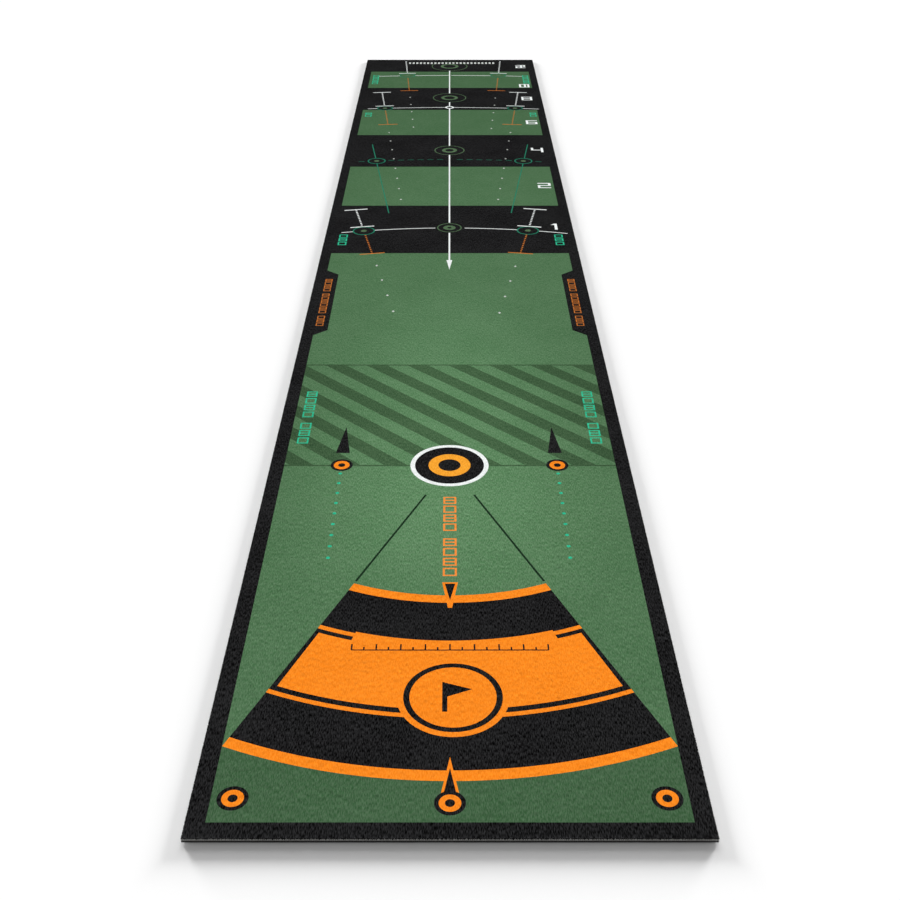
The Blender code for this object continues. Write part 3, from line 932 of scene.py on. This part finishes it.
def ticks(name, start, end, width=TICK_WIDTH):
    """Short strips one after another along a straight line."""
    start, end = np.array(start, float), np.array(end, float)
    length = np.linalg.norm(end - start)
    for part in np.arange(TICK_LENGTH / 2, length, TICK_PITCH) / length:
        middle = start + (end - start) * part
        half = (end - start) / length * TICK_LENGTH / 2
        dye(name, strip(middle - half, middle + half, width))


def crossbar(name, middle, ray, width=BAR_WIDTH):
    """A bar across a ray."""
    beside = np.array([-ray[1], ray[0]]) * BAR_LENGTH / 2
    dye(name, strip(middle - beside, middle + beside, width))


def small_ring(x, s, radius, under):
    """A thin teal ring round a dark middle with a dull dot."""
    dye("mint_lines", disc(x, s, radius))
    dye(under, disc(x, s, radius - SMALL_STROKE))
    dye("distance_rings", disc(x, s, SMALL_DOT))


def gate(x, s, radius, under, white, orange):
    """A ring with white ticks past it and orange ticks before it, on the target's ray.

    white and orange are the distances from the ring's middle at which the ticks end, and each
    ends in a crossbar.
    """
    middle = np.array([x, s], float)
    ray = middle - (0, TARGET_S)
    ray /= np.linalg.norm(ray)
    crossbar("white_gates", middle + ray * (radius + 1), ray)
    ticks("white_gates", middle + ray * (radius + 9), middle + ray * white)
    if s + white < FULL - 60:  # the last gate runs to the far end without a bar
        crossbar("white_gates", middle + ray * white, ray)
    end = middle - ray * orange
    ticks("orange_gates", end, middle - ray * (radius + 3), ORANGE_TICK_WIDTH)
    crossbar("orange_gates", end, ray, ORANGE_BAR_WIDTH)
    small_ring(x, s, radius, under)


# On the first band: an arc in two parts, and a gate on each side
for x0, x1 in ((-219, -30), (30, 237)):
    dye("white_gates", far_arc(918.5, x0, x1, 2.7))
gate(-174.6, 1561, 22.6, "band_1", 126, 124)
gate(158.0, 1563, 22.6, "band_1", 127, 123)
# On the third band: the same, with a small white ring in the middle
for x0, x1 in ((-218, -10), (10, 236)):
    dye("white_gates", far_arc(1813, x0, x1, 2.9))
dye("white_gates", disc(LINE_X, 2472, 12))
dye("band_3", disc(LINE_X, 2472, 7))
gate(-173, 2465, 21, "band_3", 160, 152)
gate(173, 2465, 21, "band_3", 160, 152)
# On the third green field: the same, and the gates run on over the last band
for x0, x1 in ((-216, -4), (4, 208)):
    dye("white_gates", far_arc(2152, x0, x1, 3.0))
gate(-123, 2811, 23, "green_3_left", 175, 168)
gate(140, 2811, 23, "green_3_right", 175, 168)

# Across the second band: two teal lines and rings, and a row of dashes between them
for way in (-1, 1):
    dye("mint_lines", strip((way * 128.5, 1665), (way * 189, 2143), GRID_STROKE))
    small_ring(way * 172, 2015, 21, "band_2")
for number in range(-9, 10):
    x = number * DASH_PITCH
    if number and abs(abs(x) - 172) > 24:  # clear of the line and of the small rings
        dye("mint_lines", far_arc(1367, x - DASH_HALF, x + DASH_HALF, DASH_STROKE))

# Rows of faint dots, by their first and last places, and dashes at the far end
for x0, s0, x1, s1, count in (
    (-99.5, 1171, -139, 1379, 4),
    (86.5, 1165, 123.7, 1375, 4),
    (-106, 1749, -152.6, 2243, 8),
    (104, 1749, 151.3, 2243, 8),
    (-92.8, 2290, -109.2, 2573, 5),
    (104.9, 2279, 123.8, 2566, 5),
):
    for x, s in zip(np.linspace(x0, x1, count), np.linspace(s0, s1, count)):
        near, far = s - DOT_HALF_LENGTH, s + DOT_HALF_LENGTH
        dye("white_dots", [(x - DOT_HALF_WIDTH, s), (x, near), (x + DOT_HALF_WIDTH, s), (x, far)])
for x in np.linspace(-120, 130, 24):
    dye("white_dots", box(x - 3, x + 3, 2948, 2968))

# ---- Numbers and mint frames beside the bands -----------------------------------------------
# Numbers of the distances, built of straight bars as on a digital clock, in white dye. Small
# mint frames stand at the sides.
STROKES = {"0": "abcdef", "1": "bc", "2": "abged", "4": "fgbc", "6": "afgedc", "8": "abcdefg"}
DIGIT_WIDTH, DIGIT_HEIGHT, DIGIT_STROKE, DIGIT_BAR = 29.0, 34.0, 5.6, 4.4
area("numbers", pile_white, "pile_white")


def digit(figure, x, s):
    """One figure with its lower left corner at a place; its strokes are lettered round the box."""
    w, h, t, low = DIGIT_WIDTH, DIGIT_HEIGHT, DIGIT_STROKE, DIGIT_BAR
    middle = h / 2
    bars = {
        "a": box(0, w, h - low, h),
        "b": box(w - t, w, middle, h),
        "c": box(w - t, w, 0, middle),
        "d": box(0, w, 0, low),
        "e": box(0, t, 0, middle),
        "f": box(0, t, middle, h),
        "g": box(0, w, middle - low / 2, middle + low / 2),
    }
    for stroke in STROKES[figure]:
        dye("numbers", np.array(bars[stroke]) + (x, s))


for text, right, middle_s in (
    ("1", 219, 1585),
    ("2", 224, 1840),
    ("4", 224, 2099),
    ("6", 224, 2334),
    ("8", 224, 2561),
    ("10", 224, 2695),
    ("12", 224, 2916),
):
    for place, figure in enumerate(reversed(text)):
        left = right - DIGIT_WIDTH - place * (DIGIT_STROKE + 4)
        digit(figure, left, middle_s - DIGIT_HEIGHT / 2)
dye("numbers", [(206, 1595), (213.5, 1595), (213.5, 1602)])  # the one's flag

area("mint_frames", pile_mint, "pile_green")
SIDE_PITCH = 20.0
for under_left, under_right, start, stop in (
    ("border_left", "border_right", 1484, 1549),
    ("green_2_left", "green_2_right", 2386, 2445),
    ("green_3_left", "green_3_right", 2715, 2826),
):
    count = int((stop - start) / SIDE_PITCH)
    frames("mint_frames", under_left, -222, -205, start, SIDE_PITCH, (count,), 2.6)
    frames("mint_frames", under_right, 209, 226, start, SIDE_PITCH, (count,), 2.6)

# ---- The pile, cut into its dyed areas ----------------------------------------------------
# One field of short tufts covers the cloth. Its surface is a net of tuft tips and the dips
# between them, and each dyed area is a closed body of its own whose edge follows the print.
TUFT_ACROSS = 1.7
TUFT_ALONG = 2.7
OUTLINE_STEP = 2.2
CLEAR = 0.7  # tuft points keep this far from an outline
MASK_CELL = 0.5
WELD = 0.04  # outline points this close become one
MERGE = 0.0008  # and the net takes points this close as one
DIP, EDGE_DIP, SWELL, NAP_RISE = 0.00022, 0.00008, 0.00004, 0.0001


def stepped(outline):
    """The outline with every edge cut into equal steps of at most OUTLINE_STEP."""
    ahead = np.roll(outline, -1, axis=0) - outline
    count = np.maximum(1, np.ceil(np.linalg.norm(ahead, axis=1) / OUTLINE_STEP)).astype(int)
    start = np.repeat(np.arange(len(outline)), count)
    part = np.arange(count.sum()) - np.repeat(np.cumsum(count) - count, count)
    return outline[start] + ahead[start] * (part / count[start])[:, None]


def welded(rings):
    """The rings with each point moved onto the first one that shares a small square with it.

    The squares are laid four times, each time half a square further across or along.
    """
    every = np.concatenate(rings)
    for shift in ((0, 0), (0.5, 0), (0, 0.5), (0.5, 0.5)):
        square = np.floor(every / WELD + shift).astype(np.int64)
        _, first, group = np.unique(square, axis=0, return_index=True, return_inverse=True)
        every = every[first[group.ravel()]]
    return np.split(every, np.cumsum([len(ring) for ring in rings])[:-1])


def tuft_points(rings):
    """Points on a grid with a random nudge each, dropped where an outline passes close by.

    A mask of 0.5 mm cells marks the outlines, and their neighbours out to CLEAR.
    """
    cell = MASK_CELL
    x = np.arange(-HALF_WIDTH + CUT + 1.0, HALF_WIDTH - CUT - 0.9, TUFT_ACROSS)
    s = np.arange(CUT + 1.2, FULL - CUT - 1.1, TUFT_ALONG)
    x, s = [grid.ravel() for grid in np.meshgrid(x, s, indexing="ij")]
    x = x + chance.uniform(-0.32, 0.32, x.size) * TUFT_ACROSS
    s = s + chance.uniform(-0.32, 0.32, s.size) * TUFT_ALONG
    mask = np.zeros((int(2 * HALF_WIDTH / cell) + 8, int(FULL / cell) + 8), bool)
    reach = math.ceil(CLEAR / cell)
    for ring in rings:
        ahead = np.roll(ring, -1, axis=0) - ring
        for share in np.linspace(0, 1, 8, endpoint=False):
            spot = ring + ahead * share
            column = ((spot[:, 0] + HALF_WIDTH) / cell).astype(int) + 3
            row = (spot[:, 1] / cell).astype(int) + 3
            inside = (column >= 2) & (column < mask.shape[0] - 2) & (row >= 2)
            inside &= row < mask.shape[1] - 2
            for i in range(-reach, reach + 1):
                for j in range(-reach, reach + 1):
                    if abs(i) + abs(j) <= reach:
                        mask[column[inside] + i, row[inside] + j] = True
    column = ((x + HALF_WIDTH) / cell).astype(int) + 3
    row = (s / cell).astype(int) + 3
    free = ~mask[column, row]
    free &= np.abs(x) < HALF_WIDTH - CUT - 0.5
    free &= (s > CUT + 0.5) & (s < FULL - CUT - 0.5)
    return np.stack([x[free], s[free]], axis=1)


def net(points, rings):
    """Triangles over the points, with the rings as their edges, and the area each lies in.

    The last ring that holds a triangle is the dye printed last, so that area owns it.
    """
    faces, start = [], 0
    for ring in rings:
        faces.append(list(range(start, start + len(ring))))
        start += len(ring)
    every = np.concatenate([*rings, points]) if len(points) else np.concatenate(rings)
    places, _, triangles, _, _, held_by = delaunay_2d_cdt(every.tolist(), [], faces, 0, MERGE, True)
    owner = np.array([max(held, default=-1) for held in held_by])
    places = np.array([(p.x, p.y) for p in places])
    triangles = np.array(triangles)
    kept = owner >= 0
    triangles = triangles[kept]
    a, b, c = (places[triangles[:, k]] for k in range(3))
    turned = (b - a)[:, 0] * (c - a)[:, 1] - (b - a)[:, 1] * (c - a)[:, 0] < 0
    triangles[turned] = triangles[turned][:, ::-1]
    number = np.array([index for index, _ in outlines])
    return places, triangles, number[owner[kept]]


rings = welded([stepped(outline) for _, outline in outlines])
tufts = tuft_points(rings)
top_places, top_triangles, top_owner = net(tufts, rings)
low_places, low_triangles, low_owner = net(np.zeros((0, 2)), rings)


def key(places):
    """One whole number for each place, to a hundredth of a millimetre."""
    rounded = np.round(places * 100).astype(np.int64)
    return rounded[:, 0] * 1_000_000 + rounded[:, 1]


def nap(places):
    """The pile's height: its level top, less a random dip at each tuft, plus a slow swell.

    Points on an outline are closer together than tufts, so they all dip by the same amount.
    """
    x, s = places.T
    dip = chance.uniform(0, 1, len(places)) ** 1.5 * DIP
    dip[~np.isin(key(places), key(tufts))] = EDGE_DIP
    swell = np.sin(x / 31 + s / 47) + np.sin(s / 23 - x / 59)
    return PILE_TOP + NAP_RISE - dip + SWELL * swell


top_height = nap(top_places)


def in_metres(places, height):
    """Points across and from the player's edge, in millimetres, put in the mat's frame."""
    return np.stack([places[:, 0] * MM, places[:, 1] * MM - LENGTH / 2, height], axis=1)


def rim_of(triangles):
    """The directed edges that only one triangle has."""
    edges = np.concatenate([triangles[:, [0, 1]], triangles[:, [1, 2]], triangles[:, [2, 0]]])
    size = edges.max() + 1
    ahead, back = edges[:, 0] * size + edges[:, 1], edges[:, 1] * size + edges[:, 0]
    return edges[~np.isin(ahead, back)]


# Each piece is its share of the upper net, its share of the lower net turned over, and walls
# from each point of the upper rim down to the lower point nearest to it.
for number, piece in enumerate(dyed_pieces):
    top = top_triangles[top_owner == number]
    low = low_triangles[low_owner == number]
    used, top = np.unique(top, return_inverse=True)
    top = top.reshape(-1, 3)
    low_used, low = np.unique(low, return_inverse=True)
    low = low.reshape(-1, 3)
    upper = in_metres(top_places[used], top_height[used])
    lower = in_metres(low_places[low_used], np.full(len(low_used), PILE_BOTTOM))
    rim = rim_of(top)
    feet = low_places[low_used].astype(np.float32)
    heads = top_places[used][rim[:, 0]].astype(np.float32)
    apart = (heads[:, :1] - feet[:, 0]) ** 2 + (heads[:, 1:] - feet[:, 1]) ** 2
    foot_of = np.zeros(len(used), int)
    foot_of[rim[:, 0]] = apart.argmin(axis=1) + len(used)
    start, end = rim.T
    foot_start, foot_end = foot_of[rim].T
    walls = np.concatenate(
        [
            np.stack([end, start, foot_start], axis=1),
            np.stack([end, foot_start, foot_end], axis=1),
        ]
    )
    faces = np.concatenate([top, low[:, ::-1] + len(used), walls])
    smooth = np.zeros(len(faces), bool)
    smooth[: len(top)] = True
    points = np.concatenate([upper, lower])
    made = mesh_piece(piece.name, piece.data.materials[0], points, faces, smooth, rim)
    old, piece.data = piece.data, made.data
    bpy.data.objects.remove(made)
    bpy.data.meshes.remove(old)

# ---- Studio -------------------------------------------------------------------------------
# A plain pale floor, an even white surround and soft lamps low behind the mat, with the
# camera at the player's end looking down along it.
world = bpy.data.worlds.new("studio")
bpy.context.scene.world = world
world.use_nodes = True
world.node_tree.nodes["Background"].inputs["Color"].default_value = (1, 1, 1, 1)
world.node_tree.nodes["Background"].inputs["Strength"].default_value = 0.275


def lamp(name, strength, elevation, azimuth, softness):
    """A sun lamp from an elevation above the floor; azimuth 0 is behind the mat's far end."""
    data = bpy.data.lights.new(name, "SUN")
    data.energy = strength
    data.angle = math.radians(softness)
    made = bpy.data.objects.new(name, data)
    made.rotation_euler = (math.radians(-(90 - elevation)), 0, math.radians(-azimuth))
    bpy.context.scene.collection.objects.link(made)


lamp("left_lamp", 7.4, 7.2, -33, 15)
lamp("right_lamp", 7.4, 7.2, 33, 15)
lamp("high_lamp", 2.1, 18, 0, 42)

floor_material, floor_shader = finish_of("floor")
floor_shader.inputs["Base Color"].default_value = linear("#fbfbfb")
floor_shader.inputs["Roughness"].default_value = 1.0
floor_shader.inputs["Specular IOR Level"].default_value = 0.0
FLOOR_CLEAR = 0.0003
reach = 14.0
corners = np.array([(-reach, -reach), (reach, -reach), (reach, reach), (-reach, reach)])
floor_points = np.column_stack([corners, np.full(4, cad_box[0].z - FLOOR_CLEAR)])
floor = mesh_piece("floor", floor_material, floor_points, np.array([[0, 1, 2, 3]]))

camera_data = bpy.data.cameras.new("camera")
camera_data.lens = 48.72
camera_data.sensor_width = 36.0
camera_data.clip_end = 60.0
camera = bpy.data.objects.new("camera", camera_data)
camera.location = (0.0, -2.2825, 0.8971)
camera.rotation_euler = (math.radians(58.97), 0.0, 0.0)
bpy.context.scene.collection.objects.link(camera)
bpy.context.scene.camera = camera
bpy.context.scene.view_settings.view_transform = "Standard"
